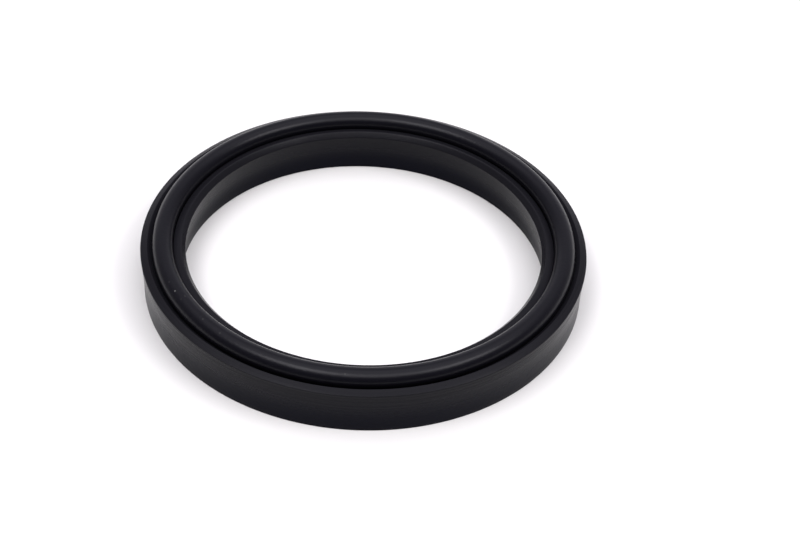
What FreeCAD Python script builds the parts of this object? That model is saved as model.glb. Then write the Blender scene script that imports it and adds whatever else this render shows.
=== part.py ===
"""Energised U-cup seal, standing on its heel with the lips up.

Two separate mouldings share one axis. The shell is a ring with a U-shaped section: a solid heel, an
outer lip that flares out to the housing, an inner lip that leans in to the rod, and a groove between
them. A round cord ring lies in the groove and spreads the lips.

Both are drawn as half sections in the XZ plane, where x is the radius and y the height, and are
revolved about the upright axis. The base of the heel is at height zero. All sizes are millimetres.
"""
import FreeCAD, Part
import math
import os
import Sketcher

doc = FreeCAD.newDocument("u_cup_seal")

# Sizes. Radial sizes of the shell hang on the rod bore and the section width, heights hang on the
# height of the outer lip, and the cord ring and its seat share their centre.
SIZES = [
    ("rod_diameter", "75", "rod that the bore of the heel is made for"),
    ("section_width", "7.5", "heel, from the bore to the outer wall"),
    ("seal_height", "10", "base of the heel to the crest of the outer lip"),
    ("heel_wall_height", "3.8", "where the outer wall starts to flare"),
    ("bore_wall_height", "3.5", "where the bore starts to lean in"),
    ("outer_reach", "0.47", "outer sealing edge beyond the heel"),
    ("inner_reach", "1.2", "inner sealing edge inside the bore"),
    ("outer_edge_drop", "0.6", "outer sealing edge below the outer crest"),
    ("inner_edge_drop", "1.21", "inner sealing edge below the outer crest"),
    ("outer_crest_inset", "0.93", "outer crest inside the heel's outer wall"),
    ("inner_crest_reach", "0.25", "inner crest inside the bore"),
    ("inner_crest_drop", "0.13", "inner crest below the outer crest"),
    ("inner_top_gap", "0.08", "level gap from the end of the inner lip's top to the seat circle"),
    ("inner_top_drop", "0.58", "end of the inner lip's top below the outer crest"),
    ("cord_diameter", "4.2", "cord of the energiser ring"),
    ("seat_clearance", "0.05", "gap between the cord and its seat"),
    ("seat_depth", "2.15", "bottom of the seat below the outer crest"),
    ("ring_offset", "0.27", "cord centre inward of the middle of the section"),
    ("heel_outer_round", "0.15", "outer lower edge of the heel"),
    ("heel_inner_round", "0.3", "inner lower edge of the heel"),
    ("outer_crest_round", "0.12", "crest of the outer lip"),
    ("inner_crest_round", "0.4", "crest of the inner lip"),
    ("inner_edge_round", "0.3", "inner sealing edge"),
    ("inner_top_round", "0.3", "where the inner lip's top turns down into the groove"),
    ("wall_blend", "3", "where the straight walls turn into the lips"),
    ("bore_radius", "=rod_diameter / 2", "worked out"),
    ("heel_radius", "=bore_radius + section_width", "worked out"),
    ("outer_edge_radius", "=heel_radius + outer_reach", "worked out"),
    ("outer_edge_height", "=seal_height - outer_edge_drop", "worked out"),
    ("outer_crest_radius", "=heel_radius - outer_crest_inset", "worked out"),
    ("inner_crest_radius", "=bore_radius - inner_crest_reach", "worked out"),
    ("inner_crest_height", "=seal_height - inner_crest_drop", "worked out"),
    ("inner_edge_radius", "=bore_radius - inner_reach", "worked out"),
    ("inner_edge_height", "=seal_height - inner_edge_drop", "worked out"),
    ("cord_radius", "=cord_diameter / 2", "worked out"),
    ("seat_radius", "=cord_radius + seat_clearance", "worked out"),
    ("ring_radius", "=bore_radius + section_width / 2 - ring_offset", "worked out"),
    ("ring_height", "=seal_height - seat_depth + seat_radius", "worked out"),
    ("inner_top_radius", "=ring_radius - seat_radius - inner_top_gap", "worked out"),
    ("inner_top_height", "=seal_height - inner_top_drop", "worked out"),
]
sheet = doc.addObject("Spreadsheet::Sheet", "Sizes")
for row, (name, text, note) in enumerate(SIZES, start=1):
    sheet.set("A%d" % row, name)
    sheet.set("B%d" % row, text)
    sheet.set("C%d" % row, note)
    sheet.setAlias("B%d" % row, name)
doc.recompute()


def size(name):
    """Return the present value of one named size."""
    return float(getattr(sheet, name))


def new_body(name, label):
    """Return a new body at the origin with its own label."""
    body = doc.addObject("PartDesign::Body", name)
    body.Label = label
    body.Placement = FreeCAD.Placement()
    return body


def section_sketch(body, name):
    """Return an empty sketch on the XZ plane of the body."""
    sketch = body.newObject("Sketcher::SketchObject", name)
    plane = [item for item in body.Origin.OriginFeatures if item.Role == "XZ_Plane"][0]
    sketch.AttachmentSupport = [(plane, "")]
    sketch.MapMode = "FlatFace"
    return sketch


def bind(sketch, kind, where, name):
    """Add one measured constraint and tie it to a named size."""
    index = sketch.addConstraint(Sketcher.Constraint(kind, *where, size(name)))
    sketch.setExpression("Constraints[%d]" % index, "Sizes." + name)


def place_point(sketch, line, end, radius_name, height_name):
    """Hold one end of a line at a named radius and a named height."""
    bind(sketch, "DistanceX", (-1, 1, line, end), radius_name)
    bind(sketch, "DistanceY", (-1, 1, line, end), height_name)


def revolve(body, sketch, name):
    """Turn the half section once round the upright axis."""
    feature = body.newObject("PartDesign::Revolution", name)
    feature.Profile = sketch
    feature.ReferenceAxis = (sketch, ["V_Axis"])
    feature.Angle = 360
    return feature


def touch_point(start, side):
    """Return where a line from a point on a lip touches the seat circle, on the given side."""
    centre = FreeCAD.Vector(size("ring_radius"), size("ring_height"), 0)
    reach = start - centre
    turn = math.acos(size("seat_radius") / reach.Length)
    angle = math.atan2(reach.y, reach.x) + side * turn
    return centre + FreeCAD.Vector(math.cos(angle), math.sin(angle), 0) * size("seat_radius")


def circles_at(shape, radius, height):
    """Return the names of the round edges with this radius and height."""
    found = []
    for number, edge in enumerate(shape.Edges, start=1):
        if edge.Curve.TypeId != "Part::GeomCircle":
            continue
        same_radius = abs(edge.Curve.Radius - radius) < 1e-4
        same_height = abs(edge.Curve.Center.z - height) < 1e-4
        if same_radius and same_height:
            found.append("Edge%d" % number)
    return found


def round_edges(body, name, before, spots, radius_name):
    """Round the ring edges at the given radius and height spots with a named radius."""
    edges = []
    for radius, height in spots:
        edges = edges + circles_at(before.Shape, radius, height)
    feature = body.newObject("PartDesign::Fillet", name)
    feature.Base = (before, edges)
    feature.Radius = size(radius_name)
    feature.setExpression("Radius", "Sizes." + radius_name)
    doc.recompute()
    return feature


# Shell: the closed half section. It runs round from the bore corner of the base, out along the base,
# up the outer wall, over both lips with the groove between them, and down the bore.
shell = new_body("u_cup_shell", "u_cup_shell")
section = section_sketch(shell, "shell_section")
bore_foot = FreeCAD.Vector(size("bore_radius"), 0, 0)
heel_foot = FreeCAD.Vector(size("heel_radius"), 0, 0)
heel_top = FreeCAD.Vector(size("heel_radius"), size("heel_wall_height"), 0)
outer_edge = FreeCAD.Vector(size("outer_edge_radius"), size("outer_edge_height"), 0)
outer_crest = FreeCAD.Vector(size("outer_crest_radius"), size("seal_height"), 0)
inner_top_end = FreeCAD.Vector(size("inner_top_radius"), size("inner_top_height"), 0)
inner_crest = FreeCAD.Vector(size("inner_crest_radius"), size("inner_crest_height"), 0)
inner_edge = FreeCAD.Vector(size("inner_edge_radius"), size("inner_edge_height"), 0)
bore_top = FreeCAD.Vector(size("bore_radius"), size("bore_wall_height"), 0)
centre = FreeCAD.Vector(size("ring_radius"), size("ring_height"), 0)
outer_touch = touch_point(outer_crest, -1)
inner_touch = touch_point(inner_top_end, 1)
start_angle = math.atan2(inner_touch.y - centre.y, inner_touch.x - centre.x)
end_angle = math.atan2(outer_touch.y - centre.y, outer_touch.x - centre.x)
seat_circle = Part.Circle(centre, FreeCAD.Vector(0, 0, 1), size("seat_radius"))

BASE = section.addGeometry(Part.LineSegment(bore_foot, heel_foot))
HEEL_WALL = section.addGeometry(Part.LineSegment(heel_foot, heel_top))
OUTER_LIP = section.addGeometry(Part.LineSegment(heel_top, outer_edge))
OUTER_LAND = section.addGeometry(Part.LineSegment(outer_edge, outer_crest))
OUTER_FLANK = section.addGeometry(Part.LineSegment(outer_crest, outer_touch))
SEAT = section.addGeometry(Part.ArcOfCircle(seat_circle, start_angle, end_angle))
INNER_FLANK = section.addGeometry(Part.LineSegment(inner_touch, inner_top_end))
INNER_TOP = section.addGeometry(Part.LineSegment(inner_top_end, inner_crest))
INNER_LAND = section.addGeometry(Part.LineSegment(inner_crest, inner_edge))
INNER_LIP = section.addGeometry(Part.LineSegment(inner_edge, bore_top))
BORE_WALL = section.addGeometry(Part.LineSegment(bore_top, bore_foot))

# The plain corners join end to start. The groove flanks run smoothly into the seat.
CORNERS = [
    (BASE, HEEL_WALL),
    (HEEL_WALL, OUTER_LIP),
    (OUTER_LIP, OUTER_LAND),
    (OUTER_LAND, OUTER_FLANK),
    (INNER_FLANK, INNER_TOP),
    (INNER_TOP, INNER_LAND),
    (INNER_LAND, INNER_LIP),
    (INNER_LIP, BORE_WALL),
    (BORE_WALL, BASE),
]
for first, second in CORNERS:
    section.addConstraint(Sketcher.Constraint("Coincident", first, 2, second, 1))
section.addConstraint(Sketcher.Constraint("Tangent", OUTER_FLANK, 2, SEAT, 2))
section.addConstraint(Sketcher.Constraint("Tangent", INNER_FLANK, 1, SEAT, 1))
section.addConstraint(Sketcher.Constraint("PointOnObject", BASE, 1, -1))
section.addConstraint(Sketcher.Constraint("Horizontal", BASE))
section.addConstraint(Sketcher.Constraint("Vertical", HEEL_WALL))
section.addConstraint(Sketcher.Constraint("Vertical", BORE_WALL))
bind(section, "DistanceX", (-1, 1, BASE, 1), "bore_radius")
bind(section, "DistanceX", (-1, 1, BASE, 2), "heel_radius")
bind(section, "DistanceY", (-1, 1, HEEL_WALL, 2), "heel_wall_height")
bind(section, "DistanceY", (-1, 1, BORE_WALL, 1), "bore_wall_height")
place_point(section, OUTER_LIP, 2, "outer_edge_radius", "outer_edge_height")
place_point(section, OUTER_LAND, 2, "outer_crest_radius", "seal_height")
place_point(section, INNER_FLANK, 2, "inner_top_radius", "inner_top_height")
place_point(section, INNER_TOP, 2, "inner_crest_radius", "inner_crest_height")
place_point(section, INNER_LAND, 2, "inner_edge_radius", "inner_edge_height")
place_point(section, SEAT, 3, "ring_radius", "ring_height")
bind(section, "Radius", (SEAT,), "seat_radius")
turned = revolve(shell, section, "shell_turned")
doc.recompute()

# Moulding rounds: both lower edges of the heel, a small round on the outer crest, the three soft
# edges of the inner lip, and a wide turn where the straight walls go over into the lips. The outer
# sealing edge stays sharp, as it is trimmed after moulding.
heel_outer_spots = [(size("heel_radius"), 0)]
heel_inner_spots = [(size("bore_radius"), 0)]
outer_crest_spots = [(size("outer_crest_radius"), size("seal_height"))]
inner_crest_spots = [(size("inner_crest_radius"), size("inner_crest_height"))]
inner_edge_spots = [(size("inner_edge_radius"), size("inner_edge_height"))]
inner_top_spots = [(size("inner_top_radius"), size("inner_top_height"))]
blend_spots = [
    (size("heel_radius"), size("heel_wall_height")),
    (size("bore_radius"), size("bore_wall_height")),
]
rounded = round_edges(shell, "heel_outer_edge", turned, heel_outer_spots, "heel_outer_round")
rounded = round_edges(shell, "heel_inner_edge", rounded, heel_inner_spots, "heel_inner_round")
rounded = round_edges(shell, "outer_lip_crest", rounded, outer_crest_spots, "outer_crest_round")
rounded = round_edges(shell, "inner_lip_crest", rounded, inner_crest_spots, "inner_crest_round")
rounded = round_edges(shell, "inner_lip_edge", rounded, inner_edge_spots, "inner_edge_round")
rounded = round_edges(shell, "inner_lip_top", rounded, inner_top_spots, "inner_top_round")
rounded = round_edges(shell, "lip_roots", rounded, blend_spots, "wall_blend")

# Energiser ring: a round cord, concentric with the seat, a named clearance smaller.
ring = new_body("energiser_o_ring", "energiser_o_ring")
cord = section_sketch(ring, "cord_section")
cord_circle = Part.Circle(centre, FreeCAD.Vector(0, 0, 1), size("cord_radius"))
CORD = cord.addGeometry(cord_circle)
place_point(cord, CORD, 3, "ring_radius", "ring_height")
bind(cord, "Radius", (CORD,), "cord_radius")
revolve(ring, cord, "cord_turned")
doc.recompute()

# Stop on a failed feature, then write one solid for each piece.
for item in doc.Objects:
    if "Invalid" in item.State or "Error" in item.State:
        raise RuntimeError(item.Name + " did not build")
os.makedirs("parts", exist_ok=True)
for body in (shell, ring):
    if body.Shape.isNull() or not body.Shape.isValid():
        raise RuntimeError(body.Name + " is not a valid solid")
    body.Shape.exportStep("parts/%s.step" % body.Name)
    box = body.Shape.BoundBox
    print(body.Name, len(body.Shape.Solids), "solid", round(body.Shape.Volume, 2), "mm3")
    print("  x %.3f to %.3f" % (box.XMin, box.XMax), "z %.3f to %.3f" % (box.ZMin, box.ZMax))
print("shell sketch", section.solve(), "free", section.FullyConstrained)
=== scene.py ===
import math
import bpy
import numpy as np
from mathutils import Matrix, Vector


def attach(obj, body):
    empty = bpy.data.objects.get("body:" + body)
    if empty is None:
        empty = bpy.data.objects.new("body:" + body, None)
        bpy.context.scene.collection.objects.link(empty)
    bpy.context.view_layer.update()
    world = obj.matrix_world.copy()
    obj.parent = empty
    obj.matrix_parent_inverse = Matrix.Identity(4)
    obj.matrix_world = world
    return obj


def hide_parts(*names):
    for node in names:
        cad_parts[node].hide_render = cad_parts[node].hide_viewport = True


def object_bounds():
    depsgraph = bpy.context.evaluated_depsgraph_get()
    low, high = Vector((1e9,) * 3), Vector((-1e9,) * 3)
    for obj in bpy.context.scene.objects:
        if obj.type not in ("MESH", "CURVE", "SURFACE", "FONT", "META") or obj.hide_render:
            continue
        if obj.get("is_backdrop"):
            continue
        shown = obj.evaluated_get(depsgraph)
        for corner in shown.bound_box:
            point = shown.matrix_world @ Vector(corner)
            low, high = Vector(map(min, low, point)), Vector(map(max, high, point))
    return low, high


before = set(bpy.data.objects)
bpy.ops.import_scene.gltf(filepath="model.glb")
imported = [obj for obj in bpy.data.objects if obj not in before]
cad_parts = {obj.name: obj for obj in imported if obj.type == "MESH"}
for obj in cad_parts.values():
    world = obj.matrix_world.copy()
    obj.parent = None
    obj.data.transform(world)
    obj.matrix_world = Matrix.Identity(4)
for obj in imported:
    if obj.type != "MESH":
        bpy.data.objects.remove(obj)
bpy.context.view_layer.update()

# Shell. A ring with a U-shaped section, moulded in one piece from black rubber. The outer lip ends
# in a narrow land, the inner lip in a broad top that slopes down to the cord. Sizes are in
# millimetres; a pair is a radius and a height above the base of the heel.
millimetre = 1e-3
bore_radius = 37.5
heel_radius = 45.0
bore_wall_height = 3.5
heel_wall_height = 3.8
outer_edge = np.array([45.47, 9.4])
outer_crest = np.array([44.07, 10.0])
inner_edge = np.array([36.3, 8.79])
inner_crest = np.array([37.25, 9.87])
inner_top = np.array([38.75, 9.42])
ring_centre = np.array([40.98, 10.0])
cord_radius = 2.1
seat_radius = cord_radius + 0.05
ring_steps = 720

# Heights on the wall, in metres, between which the rubber's roughness and tone change, the darker
# tone at the foot being painted shade; and the radii between which the outer wall's lines fade in
# past the land.
foot_height = 0.003
top_height = 0.009
land_radius = 0.0443
wall_radius = 0.0449


def seat_root():
    """Return the point where the two groove flanks would meet if there were no round seat.

    Each flank starts at a lip and touches the circle of the seat. Its direction follows from the
    angle at the circle's centre between the lip and the touching point, arccos(radius / distance).
    """
    flanks = []
    for start, side in ((outer_crest, -1.0), (inner_top, 1.0)):
        reach = start - ring_centre
        angle = np.arctan2(reach[1], reach[0]) + side * np.arccos(seat_radius / np.hypot(*reach))
        touch = ring_centre + seat_radius * np.array([np.cos(angle), np.sin(angle)])
        flanks.append(touch - start)
    across = inner_top - outer_crest
    step = np.linalg.solve(np.stack([flanks[0], -flanks[1]], axis=1), across)[0]
    return outer_crest + step * flanks[0]


def rounded_section(corners):
    """Return a closed outline as rows of radius and height in metres.

    The outline is a polygon, each corner given as a point, a rounding radius and a number of steps.
    A corner whose half angle is h gets an arc of its radius r, centred r / sin h from the corner
    on its bisector, which touches both sides r / tan h from the corner.
    """
    rows = []
    for k, (here, radius, steps) in enumerate(corners):
        here = np.array(here)
        back = np.array(corners[k - 1][0]) - here
        ahead = np.array(corners[(k + 1) % len(corners)][0]) - here
        back = back / np.hypot(*back)
        ahead = ahead / np.hypot(*ahead)
        half = np.arccos(np.clip(back @ ahead, -1.0, 1.0)) / 2
        middle = (back + ahead) / np.hypot(*(back + ahead))
        hub = here + middle * radius / np.sin(half)
        first = here + back * radius / np.tan(half) - hub
        last = here + ahead * radius / np.tan(half) - hub
        start = np.arctan2(first[1], first[0])
        sweep = np.arctan2(last[1], last[0]) - start
        sweep = (sweep + np.pi) % (2 * np.pi) - np.pi
        turn = start + sweep * np.linspace(0.0, 1.0, steps + 1)
        rows.append(hub + radius * np.stack([np.cos(turn), np.sin(turn)], axis=1))
    return np.concatenate(rows) * millimetre


def turned_mesh(name, section):
    """Return a mesh that turns a closed section round the Z axis.

    The point at row j and step i is (r_j cos a_i, r_j sin a_i, z_j) with a_i = 2 pi i / steps, and
    each face joins two neighbouring rows and two neighbouring steps, wrapping both ways.
    """
    rows = len(section)
    angle = np.arange(ring_steps) * 2 * np.pi / ring_steps
    points = np.empty((ring_steps, rows, 3))
    points[..., 0] = section[:, 0] * np.cos(angle)[:, None]
    points[..., 1] = section[:, 0] * np.sin(angle)[:, None]
    points[..., 2] = section[:, 1]
    i, j = np.meshgrid(np.arange(ring_steps), np.arange(rows), indexing="ij")
    i_next = (i + 1) % ring_steps
    j_next = (j + 1) % rows
    faces = np.stack([
        i * rows + j,
        i_next * rows + j,
        i_next * rows + j_next,
        i * rows + j_next,
    ], axis=-1)
    mesh = bpy.data.meshes.new(name)
    mesh.from_pydata(points.reshape(-1, 3), [], faces.reshape(-1, 4).tolist())
    mesh.polygons.foreach_set("use_smooth", np.ones(len(mesh.polygons), dtype=bool))
    mesh.update()
    return mesh


def add_object(name, data):
    """Return a new object that stands in the scene and shows the given data."""
    made = bpy.data.objects.new(name, data)
    bpy.context.scene.collection.objects.link(made)
    return made


def feed(tree, node, sources):
    """Wire each socket to the node's input of that name or number, or set its plain value there."""
    for place, source in sources.items():
        if isinstance(source, bpy.types.NodeSocket):
            tree.links.new(source, node.inputs[place])
        else:
            node.inputs[place].default_value = source


def ramp(tree, source, start, end, low=0.0, high=1.0, smooth=False):
    """Return a value that goes from low to high while the source goes from start to end."""
    node = tree.nodes.new("ShaderNodeMapRange")
    if smooth:
        node.interpolation_type = "SMOOTHSTEP"
    feed(tree, node, {
        "Value": source, "From Min": start, "From Max": end, "To Min": low, "To Max": high,
    })
    return node.outputs[0]


def maths(tree, operation, first, second):
    """Return the sum (ADD) or the product (MULTIPLY) of two values."""
    node = tree.nodes.new("ShaderNodeMath")
    node.operation = operation
    feed(tree, node, {0: first, 1: second})
    return node.outputs[0]


def vector_maths(tree, operation, sources):
    """Return a node that does one operation on one or two vectors."""
    node = tree.nodes.new("ShaderNodeVectorMath")
    node.operation = operation
    feed(tree, node, dict(enumerate(sources)))
    return node


def mixed(tree, share, first, second):
    """Return the colour that goes from the first to the second while share goes from 0 to 1."""
    node = tree.nodes.new("ShaderNodeMix")
    node.data_type = "RGBA"
    feed(tree, node, {0: share, 6: first, 7: second})
    return node.outputs[2]


def noise(tree, place, scale, detail):
    """Return a soft random pattern of about scale cells in a metre of the given place."""
    node = tree.nodes.new("ShaderNodeTexNoise")
    feed(tree, node, {"Vector": place, "Scale": scale, "Detail": detail})
    return node.outputs[0]


def relief(tree, height, strength, depth, normal=None):
    """Return a normal bent by a height pattern whose unit is depth metres."""
    node = tree.nodes.new("ShaderNodeBump")
    feed(tree, node, {"Height": height, "Strength": strength, "Distance": depth})
    if normal is not None:
        tree.links.new(normal, node.inputs["Normal"])
    return node.outputs["Normal"]


def rubber(name, gloss, tones, roughs, streak, flecks):
    """Return a black rubber that goes from one tone and roughness at the foot to another higher up.

    A fine grain lies over all of it. Long level lines, as a mould leaves them, stand out on the
    upper half of the outer wall and change its roughness by up to the given streak. Each fleck is
    a point of dust, given as x, y, z and radius in metres and how pale it is.
    """
    made = bpy.data.materials.new(name)
    made.use_nodes = True
    tree = made.node_tree
    skin = tree.nodes["Principled BSDF"]
    here = tree.nodes.new("ShaderNodeTexCoord").outputs["Object"]
    split = tree.nodes.new("ShaderNodeSeparateXYZ")
    feed(tree, split, {0: here})

    rise = ramp(tree, split.outputs["Z"], foot_height, top_height)
    tone = mixed(tree, rise, tones[0], tones[1])
    for x, y, z, radius, pale in flecks:
        reach = vector_maths(tree, "DISTANCE", [here, (x, y, z)]).outputs["Value"]
        inside = ramp(tree, reach, radius, radius * 0.4, smooth=True)
        tone = mixed(tree, inside, tone, (pale, pale, pale * 0.95, 1))

    # Noise that changes every 0.6 mm upwards but only every 40 mm along the wall gives the lines.
    slow = 0.014
    drawn_out = vector_maths(tree, "MULTIPLY", [here, (slow, slow, 1.0)]).outputs["Vector"]
    lines = ramp(tree, noise(tree, drawn_out, 1700.0, 0.6), 0.3, 0.7, -streak, streak)
    flat = vector_maths(tree, "MULTIPLY", [here, (1.0, 1.0, 0.0)]).outputs["Vector"]
    from_axis = vector_maths(tree, "LENGTH", [flat]).outputs["Value"]
    outside = ramp(tree, from_axis, land_radius, wall_radius)
    upper_wall = maths(tree, "MULTIPLY", outside, rise)
    wall_lines = maths(tree, "MULTIPLY", upper_wall, lines)

    finish = ramp(tree, rise, 0.0, 1.0, roughs[0], roughs[1])
    grain = relief(tree, noise(tree, here, 1500.0, 3.0), strength=0.4, depth=0.00006)
    feed(tree, skin, {
        "Base Color": tone,
        "Roughness": maths(tree, "ADD", finish, wall_lines),
        "Specular IOR Level": gloss,
        "Normal": relief(tree, wall_lines, strength=1.0, depth=0.00012, normal=grain),
    })
    return made


# Once round the section: each corner's point, its rounding and its number of steps.
shell_section = rounded_section([
    ((bore_radius, 0.0), 0.3, 8),
    ((heel_radius, 0.0), 0.15, 6),
    ((heel_radius, heel_wall_height), 60.0, 8),
    (outer_edge, 0.15, 5),
    (outer_crest, 0.12, 6),
    (seat_root(), seat_radius, 16),
    (inner_top, 0.3, 6),
    (inner_crest, 0.4, 8),
    (inner_edge, 0.3, 6),
    ((bore_radius, bore_wall_height), 14.0, 8),
])
shell_mesh = turned_mesh("u_cup_shell_skin", shell_section)
shell = add_object("u_cup_shell_skin", shell_mesh)
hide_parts("u_cup_shell")
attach(shell, "root")

# The foot's darker, bluer tone is painted shade: the floor's contact shadow as the lower wall
# reflects it.
shell_foot_painted_shade = (0.0002, 0.0004, 0.0044, 1)
shell_top = (0.0091, 0.0089, 0.0110, 1)
shell_rubber = rubber("shell_rubber", 0.085, (shell_foot_painted_shade, shell_top), (0.28, 0.26), 0.11, [])
shell_mesh.materials.append(shell_rubber)

# Energiser ring. A plain round cord of black rubber, joined end to end. It lies loose in the groove
# of the shell, and a few points of dust have settled on it.
cord_steps = 56
cord_turn = np.arange(cord_steps) * 2 * np.pi / cord_steps
cord_round = np.stack([np.cos(cord_turn), np.sin(cord_turn)], axis=1)
cord_section = (ring_centre + cord_radius * cord_round) * millimetre
cord_mesh = turned_mesh("energiser_o_ring_skin", cord_section)
cord = add_object("energiser_o_ring_skin", cord_mesh)
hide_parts("energiser_o_ring")
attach(cord, "root")

# Dust, from the left of the ring to its front: x, y, z and radius in metres, and how pale.
cord_flecks = [
    (-0.03612, -0.02111, 0.01192, 0.00022, 0.14),
    (-0.03760, -0.01850, 0.01189, 0.00018, 0.035),
    (-0.03397, -0.02266, 0.01209, 0.00020, 0.04),
    (-0.03468, -0.02339, 0.01192, 0.00016, 0.03),
    (-0.02979, -0.02897, 0.01202, 0.00022, 0.03),
    (-0.02614, -0.03262, 0.01193, 0.00022, 0.028),
    (-0.00169, -0.04203, 0.01180, 0.00020, 0.035),
]
cord_tone = (0.0048, 0.0046, 0.0070, 1)
cord_rubber = rubber("cord_rubber", 0.16, (cord_tone, cord_tone), (0.3, 0.3), 0.0, cord_flecks)
cord_mesh.materials.append(cord_rubber)


# Floor. A sheet of dull white board, laid flat. It runs far past the edges of the picture and keeps
# the ring's shadow.
def sheet(name, corners, finish, colour, roughness):
    """Return a flat four-cornered sheet of one dull colour, as a stage piece."""
    mesh = bpy.data.meshes.new(name)
    mesh.from_pydata(corners, [], [(0, 1, 2, 3)])
    made = add_object(name, mesh)
    made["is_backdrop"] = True
    dull = bpy.data.materials.new(finish)
    dull.use_nodes = True
    feed(dull.node_tree, dull.node_tree.nodes["Principled BSDF"], {
        "Base Color": colour, "Roughness": roughness, "Specular IOR Level": 0.0,
    })
    mesh.materials.append(dull)
    return made


floor_half = 6.0
sheet("floor", [
    (-floor_half, -floor_half, 0),
    (floor_half, -floor_half, 0),
    (floor_half, floor_half, 0),
    (-floor_half, floor_half, 0),
], "floor_white", (0.83, 0.825, 0.79, 1), 0.9)

# Dark card. It stands in for the unlit side of the room in front of the seal. Only reflections show
# it, so it casts no shadow on the floor.
card_half = 0.4
card_front = -0.09
card_height = 0.03
card = sheet("card", [
    (-card_half, card_front, 0),
    (card_half, card_front, 0),
    (card_half, card_front, card_height),
    (-card_half, card_front, card_height),
], "card_black", (0.01, 0.01, 0.01, 1), 1.0)
card.visible_camera = False
card.visible_diffuse = False
card.visible_shadow = False

# Room. Bright overhead, a pale backdrop low down behind the seal, dark low down on the
# camera's side. Height and depth are the Z and Y parts of the direction.
room = bpy.data.worlds.new("room")
bpy.context.scene.world = room
room.use_nodes = True
tree = room.node_tree
way = tree.nodes.new("ShaderNodeTexCoord")
parts = tree.nodes.new("ShaderNodeSeparateXYZ")
feed(tree, parts, {0: way.outputs["Generated"]})
height, depth = parts.outputs["Z"], parts.outputs["Y"]
overhead = ramp(tree, height, 0.62, 0.95, 0.0, 1.55, smooth=True)
sides = ramp(tree, depth, -0.45, 0.5, 0.03, 0.3, smooth=True)
behind = ramp(tree, depth, 0.5, 1.0, 0.0, 0.5, smooth=True)
low_down = ramp(tree, height, 0.75, 0.45, smooth=True)
backdrop = maths(tree, "MULTIPLY", behind, low_down)
round_about = maths(tree, "ADD", sides, backdrop)
feed(tree, tree.nodes["Background"], {
    "Color": (0.98, 0.96, 1.06, 1),
    "Strength": maths(tree, "ADD", round_about, overhead),
})

# Soft boxes above the camera: one to the right, one to the left and a wide one between. Each is
# given by its bearing and rise in degrees, its width and height in metres and its watts.
box_distance = 1.2
for name, bearing, rise, wide, high, watts in (
    ("box_right", -22.0, 53.0, 0.62, 0.36, 4.8),
    ("box_left", -140.0, 63.0, 0.62, 0.42, 4.4),
    ("box_middle", -88.0, 62.0, 0.85, 0.6, 3.2),
):
    lamp = bpy.data.lights.new(name, "AREA")
    lamp.shape = "RECTANGLE"
    lamp.size = wide
    lamp.size_y = high
    lamp.energy = watts
    lamp.color = (0.98, 0.96, 1.0)
    box = add_object(name, lamp)
    spot = Vector((
        math.cos(math.radians(rise)) * math.cos(math.radians(bearing)),
        math.cos(math.radians(rise)) * math.sin(math.radians(bearing)),
        math.sin(math.radians(rise)),
    )) * box_distance
    box.location = spot
    box.rotation_euler = (-spot).to_track_quat("-Z", "Y").to_euler()

# Camera, from the ellipses of the seal's circles in the photo. The offset is where the camera sees
# the middle of the base, to the right, down and ahead, in lengths of the seal's outer radius. The
# tilt and the roll are in radians.
photo_width_pixels = 800.0
focal_pixels = 2000.0
film_width = 36.0
tilt = 0.701950854
roll = 0.0523129442
offset = np.array([-0.168658588, 0.0470606281, 9.11952562]) * outer_edge[0] * millimetre
tilted = np.array([
    [1.0, 0.0, 0.0],
    [0.0, -math.sin(tilt), -math.cos(tilt)],
    [0.0, math.cos(tilt), -math.sin(tilt)],
])
rolled = np.array([
    [math.cos(roll), -math.sin(roll), 0.0],
    [math.sin(roll), math.cos(roll), 0.0],
    [0.0, 0.0, 1.0],
])
turned = rolled @ tilted
spot = -turned.T @ offset
facing = Matrix([[turned[0][k], -turned[1][k], -turned[2][k]] for k in range(3)])
camera_data = bpy.data.cameras.new("camera")
camera_data.sensor_width = film_width
camera_data.lens = film_width * focal_pixels / photo_width_pixels
camera_data.clip_start = 0.01
camera = add_object("camera", camera_data)
camera.matrix_world = Matrix.Translation(spot.tolist()) @ facing.to_4x4()
bpy.context.scene.camera = camera
bpy.context.scene.view_settings.view_transform = "Standard"

# The box round the pieces that are shown, with the stage pieces left out.
low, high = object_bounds()
